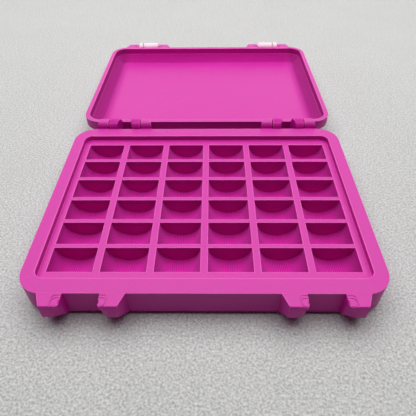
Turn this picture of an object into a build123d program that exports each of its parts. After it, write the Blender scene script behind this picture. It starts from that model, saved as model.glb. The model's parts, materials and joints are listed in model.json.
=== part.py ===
"""Bobbin storage case: a printed base with thirty-six round-bottomed pockets, a snap-on
lid and two snap-on latches.  It lies open, with the lid behind the base."""
import os
from math import asin, atan2, cos, degrees, hypot, radians, sin, sqrt

from build123d import *

# All sizes are in millimetres and all angles in degrees.
# The size that each pocket is made for, and the play round it.
bobbin_diameter = 20.3
bobbin_width = 11.7
bobbin_side_play = 0.4
bobbin_end_play = 1.15

# Pockets: half-round troughs in rows and columns.
pocket_columns = 6
pocket_rows = 6
column_wall = 3.5
row_wall = 2.5
trough_axis_rise = 1.0
trough_floor = 3.95

# Outline shared by the base and the lid.
tray_border_x = 1.7
tray_border_y = 4.2
rim_width_x = 6.55
rim_width_y = 8.05
outline_corner = 12.0
recess_corner = 4.5
recess_depth = 3.0
base_floor = 2.0
base_chamfer = 2.5

# Lid: a shallow pan with a wide chamfer round its panel.
lid_wall = 3.0
lid_panel = 3.0
lid_height = 12.8
lid_chamfer = 6.5
lid_inner_chamfer = 5.4

# Hinges: the base has the two outer knuckles of each, the lid the two inner ones.
station_inset = 29.5
hinge_reach = 4.25
wall_clearance = 0.25
middle_gap = 9.4
knuckle_width = 5.0
knuckle_flare = 2.1
knuckle_gap = 0.6
hinge_nub_radius = 2.6
hinge_nub_height = 1.8
nub_play = 0.2

# Latch ribs: a pair on the base and a pair on the lid at each station.
rib_gap = 16.2
rib_reach = 7.0
rib_width_at_wall = 11.0
rib_width_at_front = 8.2
rib_front_height = 7.6
band_height = 2.5
band_draft = 0.6
band_corner = 1.7
catch_recess = 3.6
rib_root = 0.5

# Latches: each turns between the ribs of the lid and hooks under the bands of the base.
latch_side_gap = 0.3
latch_axis_rise = 2.0
latch_reach = 4.25
latch_wall_gap = 0.35
latch_arm_inner = 1.1
latch_end_drop = 9.1
latch_lead = 1.0
tab_flare = 1.0
tab_height = 2.6
pivot_nub_radius = 2.7
pivot_nub_height = 1.3
catch_nub_radius = 2.2
catch_nub_height = 1.6
catch_gap = 0.3
slit_width = 1.0
slit_from_side = 3.0
slit_depth = 7.0

# Cutting tools run this far past the faces that they open.
overcut = 1.0

# Sizes worked out from the ones above.
trough_radius = bobbin_diameter / 2 + bobbin_side_play
pocket_width = 2 * sqrt(trough_radius**2 - trough_axis_rise**2)
pocket_length = bobbin_width + 2 * bobbin_end_play
column_pitch = pocket_width + column_wall
row_pitch = pocket_length + row_wall
grid_length = pocket_columns * column_pitch
grid_depth = pocket_rows * row_pitch
tray_height = trough_floor + trough_radius - trough_axis_rise
recess_length = grid_length + 2 * tray_border_x
recess_width = grid_depth + 2 * tray_border_y
case_length = recess_length + 2 * rim_width_x
case_width = recess_width + 2 * rim_width_y
base_height = tray_height + recess_depth
front_y = -case_width / 2
hinge_y = case_width / 2 + hinge_reach
knuckle_radius = hinge_reach - wall_clearance
station_x = case_length / 2 - station_inset
latch_width = rib_gap - 2 * latch_side_gap
latch_y = front_y - latch_reach
latch_barrel = latch_reach - latch_wall_gap
rib_front_y = front_y - rib_reach
catch_face_radius = catch_nub_radius - latch_side_gap
catch_y = rib_front_y + catch_recess - catch_face_radius - nub_play - latch_y
catch_z = -latch_axis_rise - band_height - catch_face_radius - catch_gap

# An open latch hangs with its catch nubs in the recesses of the lid's own ribs.
latch_open_angle = 2 * degrees(atan2(-catch_z, -catch_y))

# The open lid rests on the upper edges of its ribs, which set how far it turns.
lid_rest_reach = hinge_y - rib_front_y - (lid_height - rib_front_height)
lid_tilt = degrees(asin(base_height / hypot(lid_rest_reach, lid_height)) - atan2(lid_height, lid_rest_reach))
lid_open_angle = 180 + lid_tilt


def turned_frame(frame_y, frame_z, axis_y, axis_z, angle):
    """The plane that is level at (frame_y, frame_z) before it turns about an X axis."""
    turn = radians(angle)
    dy = frame_y - axis_y
    dz = frame_z - axis_z
    y = axis_y + dy * cos(turn) - dz * sin(turn)
    z = axis_z + dy * sin(turn) + dz * cos(turn)
    return Plane(origin=(0, y, z), x_dir=(1, 0, 0), z_dir=(0, -sin(turn), cos(turn)))


def side_plane(frame, x, facing=1):
    """A plane square to X: it faces +X, or -X where facing is -1, and its Y is the frame's Z."""
    origin = frame.from_local_coords((x, 0, 0))
    return Plane(origin=origin, x_dir=frame.y_dir * facing, z_dir=frame.x_dir * facing)


# Each frame has the parting plane of the closed case as its XY plane.
base_frame = Plane.XY.offset(base_height)
lid_frame = turned_frame(0, base_height, hinge_y, base_height, -lid_open_angle)
latch_pivot = lid_frame.from_local_coords((0, latch_y, latch_axis_rise))
latch_frame = turned_frame(
    latch_pivot.Y, latch_pivot.Z, latch_pivot.Y, latch_pivot.Z, -lid_open_angle - latch_open_angle
)


def add_outline(plane, length, width, corner, amount, taper=0.0, mode=Mode.ADD):
    """A rounded rectangle, raised square or at a taper."""
    with BuildSketch(plane) as outline:
        RectangleRounded(length, width, corner)
    extrude(outline.sketch, amount=amount, taper=taper, mode=mode)


def add_cone(frame, x, y, z, facing, radius, height, mode=Mode.ADD):
    """A 45 degree cone with a flat tip; its wide end lies at x and it points to facing."""
    plane = side_plane(frame, x, facing)
    place = Plane(origin=plane.from_local_coords((y * facing, z, 0)), x_dir=plane.x_dir, z_dir=plane.z_dir)
    with Locations(place.location):
        Cone(radius, radius - height, height, align=(Align.CENTER, Align.CENTER, Align.MIN), mode=mode)


def add_knuckle(frame, away, face, hand, root_depth, end_height):
    """One hinge knuckle on its web; away is +1 where the body lies above the parting plane.

    Its square face is at the given place, and it spreads from there to hand, the most at its root.
    """
    tip = face + hand * knuckle_width
    root = tip + hand * knuckle_flare
    wall_y = hinge_y - hinge_reach
    reach = hinge_y + knuckle_radius
    tangent = knuckle_radius * sin(radians(45))
    foot = hinge_reach + tangent + tangent
    with BuildSketch(side_plane(frame, min(face, root))) as profile:
        with Locations((hinge_y, 0)):
            Circle(knuckle_radius)
        with BuildLine():
            Polyline(
                (wall_y - root_depth, 0),
                (hinge_y, 0),
                (hinge_y + tangent, away * tangent),
                (wall_y + foot - end_height, away * end_height),
                (wall_y - root_depth, away * end_height),
                close=True,
            )
        make_face()
    extrude(profile.sketch, amount=abs(root - face))
    with BuildSketch(frame.offset(away * (foot + overcut))) as waste:
        with BuildLine():
            Polyline(
                (root, wall_y),
                (tip, reach),
                (tip, reach + overcut),
                (root + hand * overcut, reach + overcut),
                (root + hand * overcut, wall_y),
                close=True,
            )
        make_face()
    waste_depth = foot + knuckle_radius + 2 * overcut
    extrude(waste.sketch, amount=-away * waste_depth, mode=Mode.SUBTRACT)


def add_rib(frame, away, station, hand, slope_run, root_depth, end_height):
    """One latch rib; hand is +1 for the rib on the +X side of its latch."""
    inner = station + hand * rib_gap / 2
    outer_wall = inner + hand * rib_width_at_wall
    outer_front = inner + hand * rib_width_at_front
    root_y = front_y + root_depth
    with BuildSketch(side_plane(frame, min(inner, outer_wall))) as profile:
        with BuildLine():
            Polyline(
                (root_y, 0),
                (rib_front_y + band_draft, 0),
                (rib_front_y, away * band_height),
                (rib_front_y, away * rib_front_height),
                (rib_front_y + slope_run, away * end_height),
                (root_y, away * end_height),
                close=True,
            )
        make_face()
    extrude(profile.sketch, amount=rib_width_at_wall)
    past_front = rib_front_y - overcut
    past_side = outer_wall + hand * overcut
    with BuildSketch(frame) as flare_waste:
        with BuildLine():
            Polyline(
                (outer_wall, front_y),
                (outer_front, rib_front_y),
                (outer_front, past_front),
                (past_side, past_front),
                (past_side, front_y),
                close=True,
            )
        make_face()
    extrude(flare_waste.sketch, amount=away * end_height, mode=Mode.SUBTRACT)
    corner_y = rib_front_y + band_draft / 2
    with BuildSketch(frame) as corner_waste:
        with BuildLine():
            Line((inner, corner_y + band_corner), (inner, past_front))
            Line((inner, past_front), (inner + hand * band_corner, past_front))
            Line((inner + hand * band_corner, past_front), (inner + hand * band_corner, corner_y))
            RadiusArc((inner + hand * band_corner, corner_y), (inner, corner_y + band_corner), hand * band_corner)
        make_face()
    extrude(corner_waste.sketch, amount=away * band_height, mode=Mode.SUBTRACT)
    with BuildSketch(frame.offset(away * band_height)) as recess_waste:
        with BuildLine():
            Polyline(
                (inner, rib_front_y + catch_recess),
                (inner + hand * catch_recess, rib_front_y),
                (inner + hand * catch_recess, past_front),
                (inner, past_front),
                close=True,
            )
        make_face()
    extrude(recess_waste.sketch, amount=away * (end_height - band_height), mode=Mode.SUBTRACT)


def cut_latch_seats(frame, station):
    """Conical seats for the latch's pivot nubs, cut in the facing sides of a pair of ribs."""
    radius = pivot_nub_radius - latch_side_gap + nub_play
    depth = pivot_nub_height - latch_side_gap + nub_play
    for hand in (-1, 1):
        face = station + hand * rib_gap / 2
        add_cone(frame, face, latch_y, latch_axis_rise, hand, radius, depth, Mode.SUBTRACT)


def stations():
    """The places along X of the two hinges and the two latches."""
    return (-station_x, station_x)


# Base shell, with a square well for the pocket rows.
with BuildPart() as base_shell:
    add_outline(Plane.XY.offset(base_chamfer), case_length, case_width, outline_corner, base_height - base_chamfer)
    add_outline(Plane.XY.offset(base_chamfer), case_length, case_width, outline_corner, -base_chamfer, 45)
    rib_foot = base_height - base_chamfer
    for station in stations():
        for hand in (-1, 1):
            add_rib(base_frame, -1, station, hand, rib_reach, rib_root, rib_foot)
            face = station + hand * (middle_gap / 2 + knuckle_width + knuckle_gap)
            add_knuckle(base_frame, -1, face, hand, rim_width_y, rib_foot)
            add_cone(base_frame, face, hinge_y, 0, -hand, hinge_nub_radius, hinge_nub_height)
        cut_latch_seats(base_frame, station)
    add_outline(
        Plane.XY.offset(tray_height), recess_length, recess_width, recess_corner, recess_depth, mode=Mode.SUBTRACT
    )
    with BuildSketch(Plane.XY.offset(base_floor)):
        Rectangle(grid_length, grid_depth)
    extrude(amount=tray_height - base_floor, mode=Mode.SUBTRACT)
base_shell.part.label = "base_shell"


def make_pocket_row(index):
    """One row of the pocket grid, its troughs side by side along X."""
    row_y = (index - (pocket_rows - 1) / 2) * row_pitch
    with BuildPart() as row:
        with BuildSketch(Plane.XY.offset(base_floor)):
            with Locations((0, row_y)):
                Rectangle(grid_length, row_pitch)
        extrude(amount=tray_height - base_floor)
        trough_face = Plane(origin=(0, row_y + pocket_length / 2, 0), x_dir=(1, 0, 0), z_dir=(0, -1, 0))
        with BuildSketch(trough_face):
            with Locations((0, tray_height + trough_axis_rise)):
                with GridLocations(column_pitch, row_pitch, pocket_columns, 1):
                    Circle(trough_radius)
        extrude(amount=pocket_length, mode=Mode.SUBTRACT)
    return row.part


pocket_row_parts = []
for row_index in range(pocket_rows):
    row_part = make_pocket_row(row_index)
    row_part.label = f"pocket_row_{row_index + 1}"
    pocket_row_parts.append(row_part)

# Lid, made in its own frame, which is turned back behind the base.
with BuildPart() as lid:
    add_outline(lid_frame, case_length, case_width, outline_corner, lid_height - lid_chamfer)
    add_outline(
        lid_frame.offset(lid_height - lid_chamfer), case_length, case_width, outline_corner, lid_chamfer, 45
    )
    for station in stations():
        for hand in (-1, 1):
            add_rib(lid_frame, 1, station, hand, lid_height - rib_front_height, lid_chamfer, lid_height)
            face = station + hand * (middle_gap / 2 + knuckle_width)
            add_knuckle(lid_frame, 1, face, -hand, lid_chamfer, lid_height)
            add_cone(
                lid_frame,
                face,
                hinge_y,
                0,
                -hand,
                hinge_nub_radius - knuckle_gap + nub_play,
                hinge_nub_height - knuckle_gap + nub_play,
                Mode.SUBTRACT,
            )
        cut_latch_seats(lid_frame, station)
    inner_length = case_length - 2 * lid_wall
    inner_width = case_width - 2 * lid_wall
    inner_corner = outline_corner - lid_wall
    straight_depth = lid_height - lid_panel - lid_inner_chamfer
    add_outline(lid_frame, inner_length, inner_width, inner_corner, straight_depth, mode=Mode.SUBTRACT)
    add_outline(
        lid_frame.offset(straight_depth),
        inner_length,
        inner_width,
        inner_corner,
        lid_inner_chamfer,
        45,
        Mode.SUBTRACT,
    )
lid.part.label = "lid"


def make_latch(station):
    """One latch: a barrel and a lever between the ribs, with a slit that frees one cheek."""
    side = latch_width / 2
    outward = 1 if station > 0 else -1
    with BuildPart() as latch:
        with BuildSketch(side_plane(latch_frame, station - side)):
            Circle(latch_barrel)
            with BuildLine():
                Polyline(
                    (-latch_barrel, 0),
                    (latch_arm_inner, 0),
                    (latch_arm_inner, latch_lead - latch_end_drop),
                    (latch_arm_inner - latch_lead, -latch_end_drop),
                    (-latch_barrel - tab_flare, -latch_end_drop),
                    (-latch_barrel, tab_height - latch_end_drop),
                    close=True,
                )
            make_face()
        extrude(amount=latch_width)
        for hand in (-1, 1):
            face = station + hand * side
            add_cone(latch_frame, face, 0, 0, hand, pivot_nub_radius, pivot_nub_height)
            add_cone(latch_frame, face, catch_y, catch_z, hand, catch_nub_radius, catch_nub_height)
        slit_x = station + outward * (side - slit_from_side - slit_width / 2)
        slit_length = 2 * (latch_barrel + overcut)
        with BuildSketch(side_plane(latch_frame, slit_x - slit_width / 2)):
            with Locations((0, latch_barrel - slit_depth)):
                Rectangle(slit_length, slit_depth + overcut, align=(Align.CENTER, Align.MIN))
        extrude(amount=slit_width, mode=Mode.SUBTRACT)
    return latch.part


latch_left = make_latch(-station_x)
latch_left.label = "latch_left"
latch_right = make_latch(station_x)
latch_right.label = "latch_right"

os.makedirs("parts", exist_ok=True)
export_step(base_shell.part, "parts/base_shell.step")
for row_part in pocket_row_parts:
    export_step(row_part, f"parts/{row_part.label}.step")
export_step(lid.part, "parts/lid.step")
export_step(latch_left, "parts/latch_left.step")
export_step(latch_right, "parts/latch_right.step")
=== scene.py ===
"""The looks of the bobbin storage case, laid out as an add-on.

Each operator models one piece, or the pair of latches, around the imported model.  Pieces are
modelled where they lie in the closed case, with height counted from the parting plane between
the rims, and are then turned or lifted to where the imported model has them.
"""
import json
from math import atan2, cos, pi, radians, sin, sqrt, tan

import bmesh
import bpy
from bpy.props import FloatProperty, FloatVectorProperty, IntProperty, PointerProperty
from mathutils import Matrix, Vector


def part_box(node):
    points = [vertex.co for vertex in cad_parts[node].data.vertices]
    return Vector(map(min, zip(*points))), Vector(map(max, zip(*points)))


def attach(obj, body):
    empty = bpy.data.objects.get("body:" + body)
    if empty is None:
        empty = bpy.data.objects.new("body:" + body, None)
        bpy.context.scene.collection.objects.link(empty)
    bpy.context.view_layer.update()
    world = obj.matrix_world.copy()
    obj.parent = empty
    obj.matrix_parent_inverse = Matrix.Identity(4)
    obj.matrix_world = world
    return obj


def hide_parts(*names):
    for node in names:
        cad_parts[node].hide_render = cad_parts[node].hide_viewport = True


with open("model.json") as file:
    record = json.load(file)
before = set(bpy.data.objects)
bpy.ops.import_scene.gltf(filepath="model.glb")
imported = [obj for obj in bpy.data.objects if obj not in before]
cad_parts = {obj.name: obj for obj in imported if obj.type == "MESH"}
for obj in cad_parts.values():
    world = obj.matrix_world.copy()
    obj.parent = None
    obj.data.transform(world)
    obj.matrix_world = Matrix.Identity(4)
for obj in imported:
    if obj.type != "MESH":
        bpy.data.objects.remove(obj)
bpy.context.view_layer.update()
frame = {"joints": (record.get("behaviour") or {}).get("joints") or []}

bl_info = {
    "name": "Bobbin storage case",
    "version": (1, 0, 0),
    "blender": (4, 5, 0),
    "location": "3D View > Sidebar > Bobbin case",
    "description": "Models a printed bobbin storage case with its lid laid back",
    "category": "Add Mesh",
}

MM = 0.001
CORNER_SEGMENTS = 14
ARC_SEGMENTS = 40
TURN_SEGMENTS = 6
EDGE_SEGMENTS = 2
CONE_SIDES = 40
SHARP_ANGLE = radians(35)
SMOOTH_ANGLE = radians(20)
# How far a cutting tool reaches past the face that it cuts into.
OVERCUT = MM
# How far apart two heights may be that count as the same.
SAME_HEIGHT = MM / 100
# How close two corners have to be to become one.
SAME_CORNER = MM / 500
# Length under which an edge, or a corner's distance from a cutting plane, counts as none.
TOO_SMALL = MM / 1000
# The share of a printed step's rise in which it leans; the rest of it stands upright.
STEP_LEAN = 0.2
# Half width and reach of the two printed lines round a latch's seat.
SEAT_LINES = ((2.0 * MM, 3.2 * MM), (3.3 * MM, 3.6 * MM))
# The parts of a rounded edge's two normals along Z, or else along X, and by how much they may differ.
ROUND_ALONG_Z = ((cos(radians(22.5)), 0.005), (sin(radians(22.5)), 0.012))
ROUND_ALONG_X = ((0.905, 0.025), (0.38, 0.02))
# The part along Z that the normals of the second kind have at least.
LEAST_ALONG_Z = 0.02
EDGE_MARK = "rounded_edge"
# The part of a normal along Z from which on a face counts as level.
LEVEL = 0.85
# The part of a normal along Y from which on a face counts as an end wall.
FACES_ALONG = 0.5
# Length of one wave of a wave texture whose scale is 1.
WAVE_LENGTH = pi / 10
# Changes per metre of the printed lines along X, along Y and from line to line, and of the grain.
BAND_SCALE = (10, 10, 1300)
GRAIN_SCALE = 1100.0


def length(name, millimetres, description):
    """A length property with its default given in millimetres."""
    return FloatProperty(
        name=name, description=description, default=millimetres * MM, min=0.0, unit="LENGTH", precision=5
    )


def colour(name, red, green, blue, description):
    """A colour property, in linear values."""
    return FloatVectorProperty(
        name=name, description=description, default=(red, green, blue), subtype="COLOR", min=0.0, max=1.0
    )


def number(name, default, description):
    """A plain number, which may be below zero."""
    return FloatProperty(name=name, description=description, default=default, precision=3)


def share(name, default, description):
    """A number from 0 to 1."""
    return FloatProperty(
        name=name, description=description, default=default, min=0.0, max=1.0, subtype="FACTOR"
    )


class CaseSizes(bpy.types.PropertyGroup):
    """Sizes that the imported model's boxes and joints don't give by themselves."""

    columns: IntProperty(name="Columns", description="Pockets side by side in each row", default=6, min=1)
    trough_radius: length("Trough radius", 10.55, "Radius of a pocket's round bottom")
    trough_axis_rise: length("Trough axis rise", 1.0, "Height of a trough's axis above the tray")
    pocket_length: length("Pocket length", 14.0, "Inside length of a pocket, front to back")
    tray_border_x: length("Tray border, sides", 1.7, "Flat border at the tray's left and right")
    tray_border_y: length("Tray border, front and back", 4.2, "Flat border at the tray's front and back")
    outline_corner: length("Outline corner", 12.0, "Corner radius of the base and the lid")
    recess_corner: length("Recess corner", 4.5, "Corner radius of the tray's recess")
    base_chamfer: length("Base chamfer", 2.5, "Slope round the base's underside")
    lid_wall: length("Lid wall", 3.0, "Thickness of the lid's walls")
    lid_panel: length("Lid panel", 3.0, "Thickness of the lid's panel")
    lid_height: length("Lid height", 12.8, "Height of the lid over the parting plane")
    lid_chamfer: length("Lid chamfer", 6.5, "Slope round the lid's panel, outside")
    lid_inner_chamfer: length("Lid inner chamfer", 5.4, "Slope round the lid's panel, inside")
    slope_foot: length("Slope foot", 0.7, "How far from its foot the inner slope curves into the panel")
    hinge_reach: length("Hinge reach", 4.25, "Distance from the rear wall to the hinge axis")
    middle_gap: length("Middle gap", 9.4, "Gap between the ends of the two inner knuckles of a hinge")
    knuckle_width: length("Knuckle width", 5.0, "Width of a hinge knuckle at its end")
    knuckle_flare: length("Knuckle flare", 2.1, "How much wider a knuckle is at its root")
    knuckle_gap: length("Knuckle gap", 0.6, "Gap between a knuckle of the lid and one of the base")
    hinge_nub_radius: length("Hinge nub radius", 2.6, "Radius of the cones that the lid turns on")
    hinge_nub_height: length("Hinge nub height", 1.8, "Height of the cones that the lid turns on")
    nub_play: length("Nub play", 0.2, "Play of a cone in its seat")
    rib_gap: length("Rib gap", 16.2, "Gap between the two ribs of a pair")
    rib_reach: length("Rib reach", 7.0, "How far the ribs stand out from the front wall")
    rib_width_at_wall: length("Rib width at the wall", 11.0, "Width of a rib where it meets the wall")
    rib_width_at_front: length("Rib width at the front", 8.2, "Width of a rib at its front face")
    rib_front_height: length("Rib front height", 7.6, "Height of a rib's upright front face")
    rib_root: length("Rib root", 0.5, "How deep a rib of the base is sunk in the wall")
    band_height: length("Band height", 2.5, "Height of the band that a latch hooks over")
    band_draft: length("Band draft", 0.6, "How far the band's face leans back")
    band_corner: length("Band corner", 1.7, "Radius of the band's inner corner")
    catch_recess: length("Catch recess", 3.6, "Slanted cut under the band that takes a catch nub")
    latch_side_gap: length("Latch side gap", 0.3, "Gap between a latch and the ribs beside it")
    latch_axis_rise: length("Latch axis rise", 2.0, "Height of a latch's axis over the parting plane")
    latch_reach: length("Latch reach", 4.25, "Distance from the front wall to a latch's axis")
    latch_barrel: length("Latch barrel", 3.9, "Radius of a latch's barrel")
    latch_arm_inner: length("Latch arm", 1.1, "Distance from the axis to the arm's inner face")
    latch_end_drop: length("Latch end", 9.1, "Distance from the axis to the tab's end")
    latch_lead: length("Latch lead", 1.0, "Slanted corner inside the tab's end")
    tab_flare: length("Tab flare", 1.0, "How far the tab's end leans out")
    tab_height: length("Tab height", 2.6, "Height of the part of the tab that leans out")
    pivot_nub_radius: length("Pivot nub radius", 2.7, "Radius of the cones that a latch turns on")
    pivot_nub_height: length("Pivot nub height", 1.3, "Height of the cones that a latch turns on")
    catch_nub_radius: length("Catch nub radius", 2.2, "Radius of the cones that hold a latch shut")
    catch_nub_height: length("Catch nub height", 1.6, "Height of the cones that hold a latch shut")
    catch_gap: length("Catch gap", 0.3, "Gap between a catch nub and the band over it")
    slit_width: length("Slit width", 1.0, "Width of the slit that frees a latch's cheek")
    slit_from_side: length("Slit inset", 3.0, "Width of the cheek beside the slit")
    slit_depth: length("Slit depth", 7.0, "Depth of the slit from the barrel's top")
    seat_line_width: length("Seat line width", 0.4, "Width of the printed lines round a latch's seat")
    seat_line_depth: length("Seat line depth", 0.25, "Depth of the printed lines round a latch's seat")
    seat_line_corner: length("Seat line corner", 1.6, "Radius at which these lines turn")
    layer_height: length("Layer height", 0.2, "Height of one printed layer")
    edge_rounding: length("Edge rounding", 0.3, "Rounding of the edges, from the width of the printed line")
    knuckle_rounding: length("Knuckle rounding", 0.4, "Rounding of the edges of the hinge knuckles")
    sink: length("Sink", 0.03, "How far ribs and knuckles lie inside the faces that they run into")


class CaseColours(bpy.types.PropertyGroup):
    """Colours of the printed plastic and the table top."""

    case: colour("Case", 0.545, 0.002, 0.305, "Plastic of the base and the lid")
    latch: colour("Latches", 0.96, 0.64, 0.78, "Plastic of the latches")
    floor: colour("Floor", 0.49, 0.488, 0.484, "Table top")


class PrintFinish(bpy.types.PropertyGroup):
    """How the printed lines show, with painted highlights along edges and painted light and shade in the
    pockets and on the lid's inner slopes; a tone or a roughness is added to that of the plain plastic.
    """

    roughness: share("Roughness", 0.46, "Roughness of the plain plastic")
    ior: number("Index of refraction", 1.46, "How strongly the plastic mirrors")
    edge_lines: length("Edge lines", 1.3, "How far from an edge the lines on a level face follow it")
    band_tone: number("Band tone", 0.6, "Change of tone from line to line")
    band_roughness: number("Band roughness", 0.4, "Change of roughness from line to line")
    top_calm: share("Calm tops", 0.5, "How much less level tops change from line to line")
    grain_tone: number("Grain tone", 0.25, "Change of tone within a line")
    # Painted highlight: the faces of rounded edges are painted paler and a little grey, as if they caught
    # the lamp.
    edge_highlight_tone: number("Edge tone", 0.42, "Tone of a rounded edge")
    edge_highlight_grey: share("Edge grey", 0.1, "How much colour a rounded edge loses")
    # Painted highlight: a pale line round the opening's edge, as a share of the rounded edges' painted
    # highlight.
    opening_highlight: length("First line", 0.55, "Width of the pale line round the opening")
    opening_highlight_share: share("First line share", 0.6, "Its tone, as a share of a rounded edge's")
    # Painted highlight: a pale line round each pocket's mouth, as a share of the rounded edges' painted
    # highlight.
    pocket_highlight: length("Pocket line", 0.5, "Width of the pale line round a pocket's mouth")
    pocket_highlight_share: share("Pocket line share", 0.4, "Its tone, as a share of a rounded edge's")
    track_pitch: length("Track pitch", 0.85, "Distance between the lines along a trough")
    track_tone: number("Track tone", 0.85, "Change of tone across these lines")
    track_core: length("Track core", 2.0, "Half width of the strip where they are strongest")
    track_reach: length("Track reach", 6.0, "Half width of the strip over which they fade out")
    trough_roughness: number("Trough roughness", 0.35, "Roughness of the level steps in a trough")
    # Painted light and shade in the pockets: a trough is painted lighter along its middle and darker where
    # it is steep, and its end walls lighter.
    trough_painted_light: number("Trough tone", 0.1, "Tone along a trough's middle")
    steep_painted_shade: number("Steep tone", -0.17, "Tone where a trough is steep")
    steep_start: length("Steep start", 4.5, "Distance from a trough's middle where it starts to darken")
    steep_end: length("Steep end", 9.5, "Distance from a trough's middle where it is darkest")
    pocket_wall_painted_light: number("Wall tone", 0.1, "Tone of a pocket's end walls")
    # Painted shade on the lid's inner side slopes and walls, fading over the panel, and painted light on
    # its inner slopes at the front and back.
    side_slope_painted_shade: number("Side slope tone", -0.25, "Tone of the lid's inner slopes at its sides")
    side_slope_roughness: number("Side slope roughness", 0.35, "Roughness of these slopes")
    side_slope_fade: length("Side slope fade", 6.0, "How far over the panel both fade out")
    end_slope_painted_light: number("End slope tone", 0.16, "Tone of the lid's inner slopes at its front and back")
    layer_bump: number("Layer bump", 0.5, "Height of the layers")
    band_bump: number("Band bump", 1.5, "Change of height from line to line")
    grain_bump: number("Grain bump", 0.4, "Change of height within a line")
    bump_strength: share("Bump strength", 0.4, "How much these heights count")
    bump_depth: length("Bump depth", 0.05, "Depth that a height of 1 stands for")


class StageSettings(bpy.types.PropertyGroup):
    """Camera, lamp, sky and table top."""

    eye: FloatVectorProperty(
        name="Eye",
        description="Where the camera stands",
        default=(0.003726, -0.15829, 0.16308),
        unit="LENGTH",
    )
    pan: FloatProperty(name="Pan", description="Turn about the upright", default=0.0143, unit="ROTATION")
    tilt: FloatProperty(name="Tilt", description="Up from straight down", default=0.7902, unit="ROTATION")
    roll: FloatProperty(name="Roll", description="Turn about the view", default=-0.0101, unit="ROTATION")
    lens: number("Lens", 35.135, "Focal length of the camera in millimetres")
    sensor: number("Sensor", 36.0, "Width of the camera's sensor in millimetres")
    lamp_power: number("Lamp power", 12.7, "Power of the lamp overhead")
    lamp_length: length("Lamp length", 1350, "Left to right")
    lamp_width: length("Lamp width", 940, "Front to back")
    lamp_height: length("Lamp height", 800, "Over the floor")
    lamp_back: length("Lamp back", 280, "Its middle behind the origin")
    sky_strength: number("Sky", 0.03, "Strength of the light all round")
    sky_shine: number("Sky shine", 1.75, "Strength of the sky that shiny faces mirror")
    sky_front: share("Sky in front", 0.15, "Share of that strength in front of the case")
    sky_front_end: number("End of the front", -0.3, "Y of the direction up to which that share holds")
    sky_back_start: number("Start of the back", 0.5, "Y of the direction from which on it is full")
    backdrop: share("Backdrop", 0.64, "Paleness of the backdrop")
    floor_size: length("Floor size", 6000, "Side of the floor")
    fade_start: length("Start of the fade", 450, "How far off the floor starts to fade into the backdrop")
    fade_end: length("End of the fade", 900, "How far off the floor is all backdrop")


def joint(name):
    """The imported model's joint of that name."""
    return next(entry for entry in frame["joints"] if entry["name"] == name)


class Layout:
    """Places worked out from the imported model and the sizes.

    An outline or an opening is given by its half length, its half width and its corner radius.
    """

    def __init__(self, sizes):
        shell_low, shell_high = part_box("base_shell")
        row_low, row_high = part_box("pocket_row_1")
        last_row_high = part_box("pocket_row_6")[1]
        hinge = Vector(joint("lid_hinge")["pos_m"])
        pivot = Vector(joint("latch_right_pivot")["pos_m"])
        self.row_pitch = row_high.y - row_low.y
        self.rows = round((last_row_high.y - row_low.y) / self.row_pitch)
        self.column_pitch = (row_high.x - row_low.x) / sizes.columns
        self.rim_height = hinge.z
        self.tray_drop = row_high.z - hinge.z
        self.front_y = shell_low.y + sizes.rib_reach
        self.rib_front_y = shell_low.y
        self.outline = ((shell_high.x - shell_low.x) / 2, -self.front_y, sizes.outline_corner)
        self.lid_opening = tuple(part - sizes.lid_wall for part in self.outline)
        self.hinge_y = hinge.y
        self.rear_y = hinge.y - sizes.hinge_reach
        self.knuckle_radius = shell_high.y - hinge.y
        tray_length = row_high.x - row_low.x + 2 * sizes.tray_border_x
        tray_width = last_row_high.y - row_low.y + 2 * sizes.tray_border_y
        self.base_opening = (tray_length / 2, tray_width / 2, sizes.recess_corner)
        self.station_x = pivot.x
        self.latch_y = self.front_y - sizes.latch_reach
        catch_face_radius = sizes.catch_nub_radius - sizes.latch_side_gap
        catch_edge = self.rib_front_y + sizes.catch_recess - sizes.nub_play
        self.catch_y = catch_edge - catch_face_radius - self.latch_y
        self.catch_z = -sizes.latch_axis_rise - sizes.band_height - catch_face_radius - sizes.catch_gap
        closed = Vector((self.latch_y - hinge.y, sizes.latch_axis_rise))
        opened = Vector((pivot.y - hinge.y, pivot.z - hinge.z))
        self.lid_turn = atan2(opened.y, opened.x) - atan2(closed.y, closed.x)
        latch_turn = -2 * atan2(-self.catch_z, -self.catch_y)
        lift = Matrix.Translation((0, 0, hinge.z))
        to_hinge = Matrix.Translation((0, hinge.y, hinge.z))
        self.base_place = lift
        self.lid_place = to_hinge @ Matrix.Rotation(self.lid_turn, 4, "X") @ to_hinge.inverted() @ lift
        to_pivot = Matrix.Translation((0, pivot.y, pivot.z))
        self.latch_place = to_pivot @ Matrix.Rotation(self.lid_turn + latch_turn, 4, "X")


def activate(piece):
    """Makes one piece the only one selected, and the active one."""
    bpy.ops.object.select_all(action="DESELECT")
    piece.select_set(True)
    bpy.context.view_layer.objects.active = piece


def select_parts(piece, kind, chosen):
    """Enters edit mode with the faces or edges selected for which chosen holds."""
    activate(piece)
    bpy.ops.object.mode_set(mode="EDIT")
    bpy.ops.mesh.select_mode(type=kind)
    bpy.ops.mesh.select_all(action="DESELECT")
    mesh = bmesh.from_edit_mesh(piece.data)
    for part in mesh.faces if kind == "FACE" else mesh.edges:
        if chosen(part):
            part.select_set(True)
    mesh.select_flush_mode()
    bmesh.update_edit_mesh(piece.data)


def leave_edit_mode():
    """Goes back to object mode."""
    bpy.ops.object.mode_set(mode="OBJECT")


def spot(axis, along, across, up):
    """A point given by its place along an axis and its two places in the plane square to it."""
    if axis == "X":
        return Vector((along, across, up))
    if axis == "Y":
        return Vector((across, along, up))
    return Vector((across, up, along))


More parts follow.
